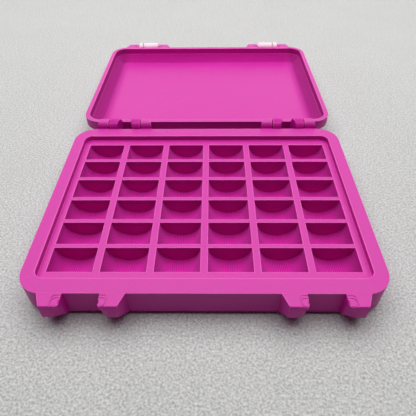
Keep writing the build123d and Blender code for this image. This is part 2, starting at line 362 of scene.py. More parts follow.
def draw_prism(name, outline, axis, start, end):
    """Draws an outline point by point, square to an axis, and extrudes it from start to end."""
    points = [spot(axis, start, across, up) for across, up in outline]
    bpy.ops.object.select_all(action="DESELECT")
    bpy.ops.mesh.primitive_plane_add(size=MM, enter_editmode=True, location=(0, 0, 0))
    bpy.ops.mesh.select_mode(type="VERT")
    bpy.ops.mesh.select_all(action="SELECT")
    bpy.ops.mesh.merge(type="CENTER")
    bpy.ops.transform.translate(value=points[0])
    for before, after in zip(points, points[1:]):
        bpy.ops.mesh.extrude_vertices_move(TRANSFORM_OT_translate={"value": after - before})
    bpy.ops.mesh.select_all(action="SELECT")
    bpy.ops.mesh.edge_face_add()
    bpy.ops.mesh.extrude_region_move(TRANSFORM_OT_translate={"value": spot(axis, end - start, 0, 0)})
    bpy.ops.mesh.select_all(action="SELECT")
    bpy.ops.mesh.normals_make_consistent(inside=False)
    leave_edit_mode()
    piece = bpy.context.object
    piece.name = name
    return piece


def cut_away(piece, point, direction):
    """Cuts off what lies past a plane and closes the cut."""
    select_parts(piece, "FACE", lambda face: True)
    bpy.ops.mesh.bisect(
        plane_co=point,
        plane_no=Vector(direction).normalized(),
        use_fill=True,
        clear_outer=True,
        threshold=TOO_SMALL,
    )
    leave_edit_mode()


def apply_transform():
    """Gives the active object's move, turn and size to its mesh."""
    bpy.ops.object.transform_apply(location=True, rotation=True, scale=True)


def apply_modifier(piece, kind, **settings):
    """Adds a modifier to a piece and applies it."""
    activate(piece)
    modifier = piece.modifiers.new(kind, kind)
    for key, value in settings.items():
        setattr(modifier, key, value)
    bpy.ops.object.modifier_apply(modifier=modifier.name)


def combine(piece, tool, operation):
    """Joins a tool to a piece, or cuts it out of the piece, and deletes the tool."""
    apply_modifier(piece, "BOOLEAN", object=tool, operation=operation, solver="EXACT")
    bpy.data.objects.remove(tool, do_unlink=True)


def mirror_across(piece):
    """Adds the piece's mirror image on the other side of the middle plane."""
    apply_modifier(piece, "MIRROR", use_mirror_merge=False)


def shift(piece, offset):
    """Moves a piece's mesh and leaves its object at the origin."""
    activate(piece)
    piece.location = offset
    apply_transform()


def repeat(piece, count, step):
    """Makes a centred row of copies of a piece's mesh."""
    apply_modifier(
        piece,
        "ARRAY",
        count=count,
        use_relative_offset=False,
        use_constant_offset=True,
        constant_offset_displace=step,
    )
    shift(piece, Vector(step) * (1 - count) / 2)


def is_sharp(edge):
    """True for an edge where two faces meet at a clear angle."""
    return len(edge.link_faces) == 2 and edge.calc_face_angle() > SHARP_ANGLE


def is_upright(edge):
    """True for an edge that runs straight up."""
    run = edge.verts[0].co - edge.verts[1].co
    return abs(run.z) > MM and abs(run.x) < MM / 10 and abs(run.y) < MM / 10


def lies_at(edge, height):
    """True for an edge that lies level at that height."""
    return all(abs(vertex.co.z - height) < SAME_HEIGHT for vertex in edge.verts)


def bevel_edges(piece, width, chosen, segments=EDGE_SEGMENTS):
    """Rounds the edges of a piece for which chosen holds."""
    select_parts(piece, "EDGE", chosen)
    bpy.ops.mesh.bevel(offset=width, offset_type="OFFSET", segments=segments, profile=0.5, affect="EDGES")
    leave_edit_mode()


def add_rounded_block(name, outline, start, end):
    """A block with rounded upright corners, between two heights."""
    half_length, half_width, corner = outline
    bpy.ops.object.select_all(action="DESELECT")
    bpy.ops.mesh.primitive_cube_add(
        size=2,
        location=(0, 0, (start + end) / 2),
        scale=(half_length, half_width, abs(end - start) / 2),
    )
    piece = bpy.context.object
    piece.name = name
    apply_transform()
    bevel_edges(piece, corner, is_upright, CORNER_SEGMENTS)
    return piece


def select_end(piece, height, facing):
    """Selects the level face at a height that faces up, or down where facing is -1."""
    select_parts(
        piece,
        "FACE",
        lambda face: face.normal.z * facing > LEVEL
        and abs(face.calc_center_median().z - height) < SAME_HEIGHT,
    )


def step_slope(piece, height, facing, depth, layer, foot=0.0):
    """Steps the end of a block in and on, one printed layer at a time, for a 45 degree slope.

    Each step leans a little.  With a foot, the slope curves into the level face that it ends at,
    from that far before their corner on.
    """
    select_end(piece, height, facing)
    steps = max(1, round(depth / layer))
    step = depth / steps
    bend = foot / tan(radians(22.5))
    run = 0.0
    for index in range(steps):
        rise = step * (index + 1)
        new_run = rise
        if foot and rise > depth - foot * cos(radians(45)):
            new_run = depth + foot - sqrt(bend**2 - (bend - (depth - rise)) ** 2)
        bpy.ops.mesh.inset(thickness=new_run - run, use_even_offset=True)
        bpy.ops.transform.translate(value=(0, 0, facing * step * STEP_LEAN))
        bpy.ops.mesh.extrude_region_move(
            TRANSFORM_OT_translate={"value": (0, 0, facing * step * (1 - STEP_LEAN))}
        )
        run = new_run
    leave_edit_mode()


def flare_mouth(piece, height, facing, half_length, half_width, rounding):
    """Flares the open end of a cutting tool, so that the edge which it leaves is rounded."""
    select_end(piece, height, facing)
    rise = 0.0
    spread = 0.0
    for angle in (radians(45), radians(90)):
        new_rise = rounding * sin(angle)
        new_spread = rounding * (1 - cos(angle))
        step = facing * (new_rise - rise)
        bpy.ops.mesh.extrude_region_move(TRANSFORM_OT_translate={"value": (0, 0, step)})
        bpy.ops.transform.resize(
            value=(
                (half_length + new_spread) / (half_length + spread),
                (half_width + new_spread) / (half_width + spread),
                1,
            ),
            center_override=(0, 0, height),
        )
        rise = new_rise
        spread = new_spread
    bpy.ops.mesh.extrude_region_move(TRANSFORM_OT_translate={"value": (0, 0, facing * OVERCUT)})
    leave_edit_mode()


def add_body(name, away, straight, chamfer, sizes, layout):
    """The solid block of the base or the lid, upright from the parting plane on and then sloping.

    Away is +1 for a body that lies above the parting plane, and -1 for one below it.
    """
    end = away * straight
    body = add_rounded_block(name, layout.outline, 0, end)
    bevel_edges(body, sizes.edge_rounding, lambda edge: is_sharp(edge) and lies_at(edge, 0))
    step_slope(body, end, away, chamfer, sizes.layer_height)
    return body


def hollow_out(body, away, opening, depth, sizes, chamfer=0.0):
    """Cuts a hollow with a rounded mouth into a body, upright down to a depth and then sloping."""
    mouth = away * sizes.edge_rounding
    hollow = add_rounded_block("hollow", opening, mouth, away * depth)
    if chamfer:
        step_slope(hollow, away * depth, away, chamfer, sizes.layer_height, sizes.slope_foot)
    flare_mouth(hollow, mouth, -away, *opening[:2], sizes.edge_rounding)
    combine(body, hollow, "DIFFERENCE")


def layered_arc(radius, high, low, layer):
    """The right side of a circle between two heights, cut into printed layers, from the top down."""
    count = max(1, round((high - low) / layer))
    rise = (high - low) / count
    points = []
    for index in range(count):
        upper = high - index * rise
        reach = sqrt(radius**2 - (upper - rise / 2) ** 2)
        points += [(reach, upper), (reach, upper - rise)]
    return points


def add_cone(name, x, y, z, facing, radius, height, root):
    """A 45 degree cone on its side: its wide end is at x, past a root, and it points to facing."""
    bpy.ops.object.select_all(action="DESELECT")
    bpy.ops.mesh.primitive_cone_add(
        vertices=CONE_SIDES,
        radius1=radius + root,
        radius2=radius - height,
        depth=height + root,
        location=(x + facing * (height - root) / 2, y, z),
        rotation=(0, facing * pi / 2, 0),
    )
    piece = bpy.context.object
    piece.name = name
    apply_transform()
    return piece


def add_four(piece, station_x):
    """Mirrors a piece within its station, and then the station to the other side of the case."""
    mirror_across(piece)
    shift(piece, (station_x, 0, 0))
    mirror_across(piece)


def add_seat_line(inner, away, half_width, reach, sizes, layout):
    """A shallow printed line in the top of a rib, which runs round the seat from the rib's inner side."""
    half_line = sizes.seat_line_width / 2
    turn = sizes.seat_line_corner
    turn_x = inner + reach - turn
    turn_y = half_width - turn
    outline = []
    corner = [radians(90 - 90 * index / TURN_SEGMENTS) for index in range(TURN_SEGMENTS + 1)]
    for side in (half_line, -half_line):
        radius = turn + side
        rear = [(turn_x + radius * cos(angle), turn_y + radius * sin(angle)) for angle in corner]
        front = [(x, -y) for x, y in reversed(rear)]
        start = inner - OVERCUT
        path = [(start, half_width + side)] + rear + front + [(start, -half_width - side)]
        outline += path if side > 0 else path[::-1]
    return draw_prism(
        "seat_line",
        [(x, layout.latch_y + y) for x, y in outline],
        "Z",
        -away * OVERCUT,
        away * sizes.seat_line_depth,
    )


def add_ribs(name, away, slope_run, root_depth, end_height, sizes, layout):
    """The four latch ribs of the base or the lid.

    Away is +1 where they lie above the parting plane, and -1 where they lie below it.
    """
    inner = sizes.rib_gap / 2
    outer_wall = inner + sizes.rib_width_at_wall
    outer_front = inner + sizes.rib_width_at_front
    front = layout.rib_front_y
    root = layout.front_y + root_depth
    ribs = draw_prism(
        name,
        [
            (root, away * sizes.sink),
            (front + sizes.band_draft, 0),
            (front, away * sizes.band_height),
            (front, away * sizes.rib_front_height),
            (front + slope_run, away * end_height),
            (root, away * (end_height - sizes.sink)),
        ],
        "X",
        inner,
        outer_wall,
    )
    cut_away(ribs, (outer_wall, layout.front_y, 0), (layout.front_y - front, outer_front - outer_wall, 0))
    corner = sizes.band_corner
    middle_x = inner + corner
    middle_y = front + sizes.band_draft / 2 + corner
    past_front = front - OVERCUT
    quarter = [radians(270 - 90 * index / TURN_SEGMENTS) for index in range(TURN_SEGMENTS + 1)]
    corner_waste = draw_prism(
        "corner_waste",
        [(inner - OVERCUT, middle_y), (inner - OVERCUT, past_front), (middle_x, past_front)]
        + [(middle_x + corner * cos(angle), middle_y + corner * sin(angle)) for angle in quarter],
        "Z",
        -away * OVERCUT,
        away * sizes.band_height,
    )
    combine(ribs, corner_waste, "DIFFERENCE")
    recess = sizes.catch_recess
    recess_waste = draw_prism(
        "recess_waste",
        [
            (inner - OVERCUT, front + recess + OVERCUT),
            (inner - OVERCUT, past_front),
            (inner + recess + OVERCUT, past_front),
        ],
        "Z",
        away * sizes.band_height,
        away * (end_height + OVERCUT),
    )
    combine(ribs, recess_waste, "DIFFERENCE")
    bevel_edges(ribs, sizes.edge_rounding, is_sharp)
    seat = add_cone(
        "seat",
        inner,
        layout.latch_y,
        sizes.latch_axis_rise,
        1,
        sizes.pivot_nub_radius - sizes.latch_side_gap + sizes.nub_play,
        sizes.pivot_nub_height - sizes.latch_side_gap + sizes.nub_play,
        sizes.latch_side_gap,
    )
    combine(ribs, seat, "DIFFERENCE")
    for half_width, reach in SEAT_LINES:
        line = add_seat_line(inner, away, half_width, reach, sizes, layout)
        combine(ribs, line, "DIFFERENCE")
    add_four(ribs, layout.station_x)
    return ribs


def knuckle_outline(away, root_depth, end_height, sizes, layout):
    """Side view of a hinge knuckle on its web."""
    radius = layout.knuckle_radius - sizes.sink
    foot = sizes.hinge_reach + 2 * radius * sin(radians(45))
    turns = [radians(-45 + 225 * index / ARC_SEGMENTS) for index in range(ARC_SEGMENTS + 1)]
    root = layout.rear_y - root_depth
    return [
        (layout.rear_y + foot - end_height, away * end_height),
        (root, away * (end_height - sizes.sink)),
        (root, away * sizes.sink),
    ] + [(layout.hinge_y + radius * cos(turn), -away * radius * sin(turn)) for turn in reversed(turns)]


def add_knuckle(name, away, face, hand, root_depth, end_height, sizes, layout):
    """One knuckle, with its square face at the given place, that spreads from there to hand."""
    tip = face + hand * sizes.knuckle_width
    root = tip + hand * sizes.knuckle_flare
    outline = knuckle_outline(away, root_depth, end_height, sizes, layout)
    knuckle = draw_prism(name, outline, "X", face, root)
    depth = layout.hinge_y + layout.knuckle_radius - layout.rear_y
    cut_away(knuckle, (root, layout.rear_y, 0), (hand * depth, sizes.knuckle_flare, 0))
    clear_of_wall = layout.rear_y + 2 * sizes.edge_rounding
    bevel_edges(
        knuckle,
        sizes.knuckle_rounding,
        lambda edge: is_sharp(edge) and all(vertex.co.y > clear_of_wall for vertex in edge.verts),
    )
    return knuckle


def add_base_knuckles(sizes, layout):
    """The four outer knuckles, with the cones that the lid turns on."""
    face = sizes.middle_gap / 2 + sizes.knuckle_width + sizes.knuckle_gap
    straight = layout.rim_height - sizes.base_chamfer
    rim_width = layout.outline[1] - layout.base_opening[1]
    knuckles = add_knuckle("base_knuckles", -1, face, 1, rim_width, straight, sizes, layout)
    nub = add_cone(
        "nub", face, layout.hinge_y, 0, -1, sizes.hinge_nub_radius, sizes.hinge_nub_height, sizes.nub_play
    )
    combine(knuckles, nub, "UNION")
    add_four(knuckles, layout.station_x)
    return knuckles


def add_lid_knuckles(sizes, layout):
    """The four inner knuckles, with a dimple in the side that faces the base's knuckle."""
    face = sizes.middle_gap / 2 + sizes.knuckle_width
    root_depth = sizes.lid_chamfer + sizes.rib_root
    knuckles = add_knuckle("lid_knuckles", 1, face, -1, root_depth, sizes.lid_height, sizes, layout)
    dimple = add_cone(
        "dimple",
        face,
        layout.hinge_y,
        0,
        -1,
        sizes.hinge_nub_radius - sizes.knuckle_gap + sizes.nub_play,
        sizes.hinge_nub_height - sizes.knuckle_gap + sizes.nub_play,
        sizes.nub_play,
    )
    combine(knuckles, dimple, "DIFFERENCE")
    add_four(knuckles, layout.station_x)
    return knuckles


def add_pocket_tool(sizes, layout):
    """A cutting tool in the shape of all the pockets, whose round bottoms are in printed layers."""
    rounding = sizes.edge_rounding
    axis = layout.tray_drop + sizes.trough_axis_rise
    mouth = layout.tray_drop - rounding
    right = layered_arc(sizes.trough_radius, mouth - axis, -sizes.trough_radius, sizes.layer_height)
    left = [(-reach, height) for reach, height in reversed(right)]
    half = sizes.pocket_length / 2
    tool = draw_prism("pockets", [(x, axis + height) for x, height in right + left], "Y", -half, half)
    flare_mouth(tool, mouth, 1, right[0][0], half, rounding)
    repeat(tool, sizes.columns, (layout.column_pitch, 0, 0))
    repeat(tool, layout.rows, (0, layout.row_pitch, 0))
    return tool


def is_rounding(face):
    """True for a face of a rounded edge, by how far its normal points along Z or along X."""
    along_z = abs(face.normal.z)
    along_x = abs(face.normal.x)
    if any(abs(along_z - middle) < margin for middle, margin in ROUND_ALONG_Z):
        return True
    if along_z < LEAST_ALONG_Z:
        return False
    return any(abs(along_x - middle) < margin for middle, margin in ROUND_ALONG_X)


def mark_edges(piece):
    """Marks the faces of the rounded edges, for the highlight painted along them."""
    mark = piece.data.attributes.new(EDGE_MARK, "FLOAT", "FACE")
    for face in piece.data.polygons:
        mark.data[face.index].value = 1.0 if is_rounding(face) else 0.0


def check_closed(piece):
    """Stops the script where a piece has an edge that doesn't join exactly two faces."""
    mesh = bmesh.new()
    mesh.from_mesh(piece.data)
    open_edges = sum(1 for edge in mesh.edges if len(edge.link_faces) != 2)
    mesh.free()
    if open_edges:
        raise RuntimeError(f"{piece.name} isn't closed: {open_edges} open edges")


def finish_piece(piece, place, body, material, replaced):
    """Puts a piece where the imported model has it, closes and smooths it, and gives it to its body."""
    mark_edges(piece)
    activate(piece)
    piece.matrix_world = place
    apply_transform()
    bpy.ops.object.mode_set(mode="EDIT")
    bpy.ops.mesh.select_all(action="SELECT")
    bpy.ops.mesh.remove_doubles(threshold=SAME_CORNER)
    bpy.ops.mesh.dissolve_degenerate(threshold=TOO_SMALL)
    bpy.ops.mesh.select_all(action="SELECT")
    bpy.ops.mesh.normals_make_consistent(inside=False)
    leave_edit_mode()
    check_closed(piece)
    bpy.ops.object.shade_smooth_by_angle(angle=SMOOTH_ANGLE)
    piece.data.materials.clear()
    piece.data.materials.append(material)
    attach(piece, body)
    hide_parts(*replaced)


def set_up_nodes(name):
    """A new material without any nodes, and the tree that they go in."""
    material = bpy.data.materials.new(name)
    material.use_nodes = True
    tree = material.node_tree
    tree.nodes.clear()
    return material, tree


def add_node(tree, kind, inputs=None, **settings):
    """A shader node with its settings; an input is a constant, another node's socket or a Value."""
    node = tree.nodes.new(kind)
    for key, value in settings.items():
        setattr(node, key, value)
    for key, value in (inputs or {}).items():
        socket = node.inputs[key]
        source = value.socket if isinstance(value, Value) else value
        if isinstance(source, bpy.types.NodeSocket):
            tree.links.new(source, socket)
        else:
            socket.default_value = source
    return node


def node_value(tree, output, kind, inputs=None, **settings):
    """One output of a new shader node, as a Value."""
    return Value(tree, add_node(tree, kind, inputs, **settings).outputs[output])


class Value:
    """A number that a material works out at each point, and the sums that nodes can do on it.

    A comparison is 1 where it holds and 0 elsewhere.
    """

    def __init__(self, tree, socket):
        self.tree = tree
        self.socket = socket

    def calculate(self, operation, first, second=0.0):
        """The result of one maths node."""
        return node_value(self.tree, 0, "ShaderNodeMath", {0: first, 1: second}, operation=operation)

    def __add__(self, other):
        return self.calculate("ADD", self, other)

    def __sub__(self, other):
        return self.calculate("SUBTRACT", self, other)

    def __rsub__(self, other):
        return self.calculate("SUBTRACT", other, self)

    def __mul__(self, other):
        return self.calculate("MULTIPLY", self, other)

    def __pow__(self, other):
        return self.calculate("POWER", self, other)

    def __abs__(self):
        return self.calculate("ABSOLUTE", self)

    def __lt__(self, other):
        return self.calculate("LESS_THAN", self, other)

    def __gt__(self, other):
        return self.calculate("GREATER_THAN", self, other)

    def at_least(self, other):
        """The larger of two values."""
        return self.calculate("MAXIMUM", self, other)

    def at_most(self, other):
        """The smaller of two values."""
        return self.calculate("MINIMUM", self, other)

    def ping_pong(self, turn):
        """Goes up and down between 0 and turn while the value grows."""
        return self.calculate("PINGPONG", self, turn)

    def ramp(self, start, end, first=0.0, last=1.0):
        """Goes from first to last while the value goes from start to end, and stays there outside."""
        inputs = {"Value": self, "From Min": start, "From Max": end, "To Min": first, "To Max": last}
        return node_value(self.tree, 0, "ShaderNodeMapRange", inputs)

    def choose(self, where_one, where_zero):
        """One value where this one is 1, and another where it is 0."""
        inputs = {"Factor": self, "A": where_zero, "B": where_one}
        return node_value(self.tree, 0, "ShaderNodeMix", inputs, data_type="FLOAT")


def split(tree, vector):
    """The three parts of a vector, as Values."""
    return [Value(tree, part) for part in add_node(tree, "ShaderNodeSeparateXYZ", {0: vector}).outputs]


def noise(tree, place, scale, detail=2.0, roughness=0.6, distortion=0.0):
    """Noise from -0.5 to 0.5."""
    inputs = {
        "Vector": place,
        "Scale": scale,
        "Detail": detail,
        "Roughness": roughness,
        "Distortion": distortion,
    }
    return node_value(tree, 0, "ShaderNodeTexNoise", inputs) - 0.5


def waves(tree, place, pitch, axis):
    """Waves along an axis, from -0.5 to 0.5."""
    inputs = {"Vector": place, "Scale": WAVE_LENGTH / pitch, "Distortion": 0.0, "Detail": 0.0}
    settings = {"wave_type": "BANDS", "bands_direction": axis}
    return node_value(tree, "Color", "ShaderNodeTexWave", inputs, **settings) - 0.5


def edge_distance(x, y, half_length, half_width, corner):
    """How far a point lies outside an outline with rounded corners; it is below zero inside it."""
    past_x = (abs(x) - (half_length - corner)).at_least(0.0)
    past_y = (abs(y) - (half_width - corner)).at_least(0.0)
    return (past_x**2.0 + past_y**2.0) ** 0.5 - corner


class Surface:
    """Where a point of a piece lies in the closed case and how it faces.

    What lies below the tray, as the troughs do, is sunk.
    """

    def __init__(self, tree, place, outline, opening, tray_height):
        inverse = place.inverted()
        coordinates = add_node(tree, "ShaderNodeTexCoord")
        inputs = {
            "Vector": coordinates.outputs["Object"],
            "Location": inverse.to_translation(),
            "Rotation": inverse.to_euler(),
        }
        self.point = add_node(tree, "ShaderNodeMapping", inputs).outputs[0]
        self.x, self.y, self.z = split(tree, self.point)
        normal = split(tree, coordinates.outputs["Normal"])
        self.faces_along = abs(normal[1]) > FACES_ALONG
        self.level = abs(normal[2]) > LEVEL
        self.sunk = self.z < tray_height
        self.sunk_level = self.sunk * self.level
        self.top = self.level - self.sunk_level
        self.opening = opening
        self.past_opening = edge_distance(self.x, self.y, *opening)
        self.from_opening = abs(self.past_opening)
        self.from_edge = abs(edge_distance(self.x, self.y, *outline)).at_most(self.from_opening)


def across_lines(tree, surface, finish):
    """A place whose Z grows from one printed line to the next.

    It is the height on upright and sloping faces.  On level ones it is X below the tray, the
    distance from the edge near an edge, and a slanted way elsewhere.
    """
    slanted = (surface.x + surface.y) * sqrt(0.5)
    top = (surface.from_edge < finish.edge_lines).choose(surface.from_edge, slanted)
    level = surface.sunk.choose(surface.x, top)
    across = surface.level.choose(level, surface.z)
    return add_node(tree, "ShaderNodeCombineXYZ", {"X": surface.x, "Y": surface.y, "Z": across}).outputs[0]


def slope_shares(surface, low, high, fade):
    """Where the inner slopes of a pan lie between two heights, at its sides and at its ends.

    The share of the sides takes in the walls over them, and fades out over the panel; shade is painted
    there.  The share of the ends is where light is painted.
    """
    run = high - low
    margin = 0.2 * MM
    side_foot = surface.opening[0] - run
    end_foot = surface.opening[1] - run
    inside = (surface.past_opening < margin) * (surface.z < high + margin / 2)
    sides = abs(surface.x).ramp(side_foot - fade, side_foot) * inside
    ends = abs(surface.y).ramp(end_foot - margin, end_foot + margin) * (surface.z > low + margin)
    return sides, ends * inside


def pocket_border(surface, from_divider, width, sizes, layout):
    """1 on a line of that width round the mouth of each pocket, 0 elsewhere."""
    half_length = sqrt(sizes.trough_radius**2 - sizes.trough_axis_rise**2)
    past_side = layout.column_pitch / 2 - half_length - from_divider
    past_end = (layout.row_pitch - sizes.pocket_length) / 2 - surface.y.ping_pong(layout.row_pitch / 2)
    grid_length = sizes.columns * layout.column_pitch
    grid_width = layout.rows * layout.row_pitch
    past_grid = edge_distance(surface.x, surface.y, grid_length / 2, grid_width / 2, 0.0)
    return (past_side.at_least(past_end) < width) * (past_grid < MM / 10)


def pocket_light_and_shade(surface, from_divider, half_pitch, finish):
    """Painted light and shade in the pockets: end walls painted lighter, and troughs painted lighter along
    the middle and darker where they turn steep.
    """
    in_pocket = surface.sunk * (surface.past_opening < 0.0)
    end_wall = in_pocket * surface.faces_along
    start = half_pitch - finish.steep_start
    end = half_pitch - finish.steep_end
    trough = from_divider.ramp(start, end, finish.trough_painted_light, finish.steep_painted_shade)
    return end_wall * finish.pocket_wall_painted_light + (in_pocket - end_wall) * trough


def printed_plastic(
    scene, name, base_colour, layout, place, outline, opening, tray_height, slope=None, has_pockets=False
):
    """Printed plastic, with the lines that the printer leaves on each kind of face, painted highlights
    along its edges, and painted light and shade in the pockets and on the lid's inner slopes.

    Place, outline, opening and tray_height are those of Surface.  The slope inside the opening,
    where there is one, is given by its two heights.
    """
    sizes = scene.bobbin_case_sizes
    finish = scene.bobbin_case_finish
    material, tree = set_up_nodes(name)
    surface = Surface(tree, place, outline, opening, tray_height)
    across = across_lines(tree, surface, finish)
    stretched = add_node(tree, "ShaderNodeMapping", {"Vector": across, "Scale": BAND_SCALE})
    bands = noise(tree, stretched.outputs[0], 1.0) * (1.0 - surface.top * finish.top_calm)
    grain = noise(tree, surface.point, GRAIN_SCALE)
    layers = waves(tree, across, sizes.layer_height, "Z")
    half_pitch = layout.column_pitch / 2
    from_divider = surface.x.ping_pong(half_pitch)
    strip = from_divider.ramp(half_pitch - finish.track_reach, half_pitch - finish.track_core)
    tracks = waves(tree, surface.point, finish.track_pitch, "X") * surface.sunk_level * strip

    # pale is painted highlight: a pale line round the opening, the rounded edges, and a pale line round
    # each pocket's mouth.
    pale = (surface.from_opening < finish.opening_highlight) * surface.top * finish.opening_highlight_share
    pale = pale.at_least(node_value(tree, "Fac", "ShaderNodeAttribute", attribute_name=EDGE_MARK))
    # Painted highlight round each pocket's mouth.
    if has_pockets:
        border = pocket_border(surface, from_divider, finish.pocket_highlight, sizes, layout) * surface.top
        pale = pale.at_least(border * finish.pocket_highlight_share)
    tone = bands * finish.band_tone + tracks * finish.track_tone + grain * finish.grain_tone + 1.0
    tone = tone + pale * finish.edge_highlight_tone
    roughness = bands * finish.band_roughness + finish.roughness
    roughness = roughness + surface.sunk_level * finish.trough_roughness
    # Painted light and shade in the pockets.
    if has_pockets:
        tone = tone + pocket_light_and_shade(surface, from_divider, half_pitch, finish)
    # Painted shade on the lid's inner side slopes, painted light on its end slopes.
    if slope:
        sides, ends = slope_shares(surface, *slope, finish.side_slope_fade)
        tone = tone + sides * finish.side_slope_painted_shade + ends * finish.end_slope_painted_light
        roughness = roughness + sides * finish.side_slope_roughness
    inputs = {"Saturation": 1.0 - pale * finish.edge_highlight_grey, "Value": tone, "Color": (*base_colour, 1.0)}
    paint = add_node(tree, "ShaderNodeHueSaturation", inputs)
    height = layers * finish.layer_bump + bands * finish.band_bump + grain * finish.grain_bump
    inputs = {"Height": height, "Strength": finish.bump_strength, "Distance": finish.bump_depth}
    bump = add_node(tree, "ShaderNodeBump", inputs)
    inputs = {
        "Base Color": paint.outputs[0],
        "Roughness": roughness,
        "Normal": bump.outputs[0],
        "IOR": finish.ior,
    }
    plastic = add_node(tree, "ShaderNodeBsdfPrincipled", inputs)
    add_node(tree, "ShaderNodeOutputMaterial", {"Surface": plastic.outputs[0]})
    return material


def table_top(floor_colour, settings):
    """Pale pebbled table top with a few small dark specks, which fades into the backdrop far away."""
    pebble_scale, pebble_tone = 1000.0, 1.1
    patch_scale, patch_tone = 22.0, 0.08
    speck_scale, speck_tone = 70.0, -0.4
    # A cell of the speck pattern has a speck where its chance, from 0 to 1, is over this limit.
    speck_limit, speck_growth = 0.62, 0.11
    material, tree = set_up_nodes("table_top")
    place = add_node(tree, "ShaderNodeTexCoord").outputs["Object"]
    pebbles = noise(tree, place, pebble_scale, detail=0.5, roughness=0.5, distortion=0.4)
    patches = noise(tree, place, patch_scale, roughness=0.5)
    specks = add_node(tree, "ShaderNodeTexVoronoi", {"Vector": place, "Scale": speck_scale})
    chance = node_value(tree, "Red", "ShaderNodeSeparateColor", {"Color": specks.outputs["Color"]})
    speck = Value(tree, specks.outputs["Distance"]) < (chance - speck_limit) * speck_growth
    tone = pebbles * pebble_tone + patches * patch_tone + 1.0 + speck * speck_tone
    paint = add_node(tree, "ShaderNodeHueSaturation", {"Value": tone, "Color": (*floor_colour, 1.0)})
    bump = add_node(tree, "ShaderNodeBump", {"Height": pebbles, "Strength": 0.8, "Distance": 0.5 * MM})
    inputs = {"Base Color": paint.outputs[0], "Roughness": 0.6, "Normal": bump.outputs[0]}
    top = add_node(tree, "ShaderNodeBsdfPrincipled", inputs)
    reach = node_value(tree, "Value", "ShaderNodeVectorMath", {0: place}, operation="LENGTH")
    seen = node_value(tree, "Is Camera Ray", "ShaderNodeLightPath")
    backdrop = (settings.backdrop, settings.backdrop, settings.backdrop, 1.0)
    glow = add_node(tree, "ShaderNodeEmission", {"Color": backdrop})
    inputs = {
        0: seen * reach.ramp(settings.fade_start, settings.fade_end),
        1: top.outputs[0],
        2: glow.outputs[0],
    }
    both = add_node(tree, "ShaderNodeMixShader", inputs)
    add_node(tree, "ShaderNodeOutputMaterial", {"Surface": both.outputs[0]})
    return material


class CASE_OT_stage(bpy.types.Operator):
    """Sets up the table top, the sky, the lamp and the camera"""

    bl_idname = "bobbin_case.stage"
    bl_label = "Stage"

    def execute(self, context):
        settings = context.scene.bobbin_case_stage
        colours = context.scene.bobbin_case_colours
        bpy.ops.object.select_all(action="DESELECT")
        bpy.ops.mesh.primitive_plane_add(size=settings.floor_size, location=(0, 0, 0))
        floor = context.object
        floor.name = "floor"
        floor.data.materials.append(table_top(colours.floor, settings))

        world = bpy.data.worlds.new("studio")
        world.use_nodes = True
        tree = world.node_tree
        background = tree.nodes["Background"]
        background.inputs["Color"].default_value = (1.0, 1.0, 1.0, 1.0)
        path = add_node(tree, "ShaderNodeLightPath")
        glossy = Value(tree, path.outputs["Is Glossy Ray"])
        seen = Value(tree, path.outputs["Is Camera Ray"])
        toward_y = split(tree, add_node(tree, "ShaderNodeTexCoord").outputs["Generated"])[1]
        behind = toward_y.ramp(settings.sky_front_end, settings.sky_back_start, settings.sky_front)
        strength = glossy * behind * settings.sky_shine + settings.sky_strength + seen * settings.backdrop
        tree.links.new(strength.socket, background.inputs["Strength"])
        context.scene.world = world

        light = bpy.data.lights.new("softbox", "AREA")
        light.shape = "RECTANGLE"
        light.size = settings.lamp_length
        light.size_y = settings.lamp_width
        light.energy = settings.lamp_power
        softbox = bpy.data.objects.new("softbox", light)
        softbox.location = (0, settings.lamp_back, settings.lamp_height)
        context.scene.collection.objects.link(softbox)

        lens = bpy.data.cameras.new("camera")
        lens.sensor_width = settings.sensor
        lens.lens = settings.lens
        lens.clip_start = 0.01
        lens.clip_end = 20.0
        camera = bpy.data.objects.new("camera", lens)
        turn = (
            Matrix.Rotation(settings.pan, 4, "Z")
            @ Matrix.Rotation(settings.tilt, 4, "X")
            @ Matrix.Rotation(settings.roll, 4, "Z")
        )
        camera.matrix_world = Matrix.Translation(settings.eye) @ turn
        context.scene.collection.objects.link(camera)
        context.scene.camera = camera
        context.scene.view_settings.view_transform = "Standard"
        return {"FINISHED"}


class CASE_OT_base(bpy.types.Operator):
    """Models the base: rim, tray, pockets, latch ribs and hinge knuckles"""

    bl_idname = "bobbin_case.base"
    bl_label = "Base"

    def execute(self, context):
        scene = context.scene
        sizes = scene.bobbin_case_sizes
        layout = Layout(sizes)
        straight = layout.rim_height - sizes.base_chamfer
        base = add_body("base", -1, straight, sizes.base_chamfer, sizes, layout)
        ribs = add_ribs("base_ribs", -1, sizes.rib_reach, sizes.rib_root, straight, sizes, layout)
        combine(base, ribs, "UNION")
        combine(base, add_base_knuckles(sizes, layout), "UNION")
        hollow_out(base, -1, layout.base_opening, -layout.tray_drop, sizes)
        combine(base, add_pocket_tool(sizes, layout), "DIFFERENCE")
        plastic = printed_plastic(
            scene,
            "base_plastic",
            scene.bobbin_case_colours.case,
            layout,
            layout.base_place,
            layout.outline,
            layout.base_opening,
            layout.tray_drop - sizes.edge_rounding,
            has_pockets=True,
        )
        rows = [f"pocket_row_{index + 1}" for index in range(layout.rows)]
        finish_piece(base, layout.base_place, "base", plastic, ["base_shell", *rows])
        return {"FINISHED"}


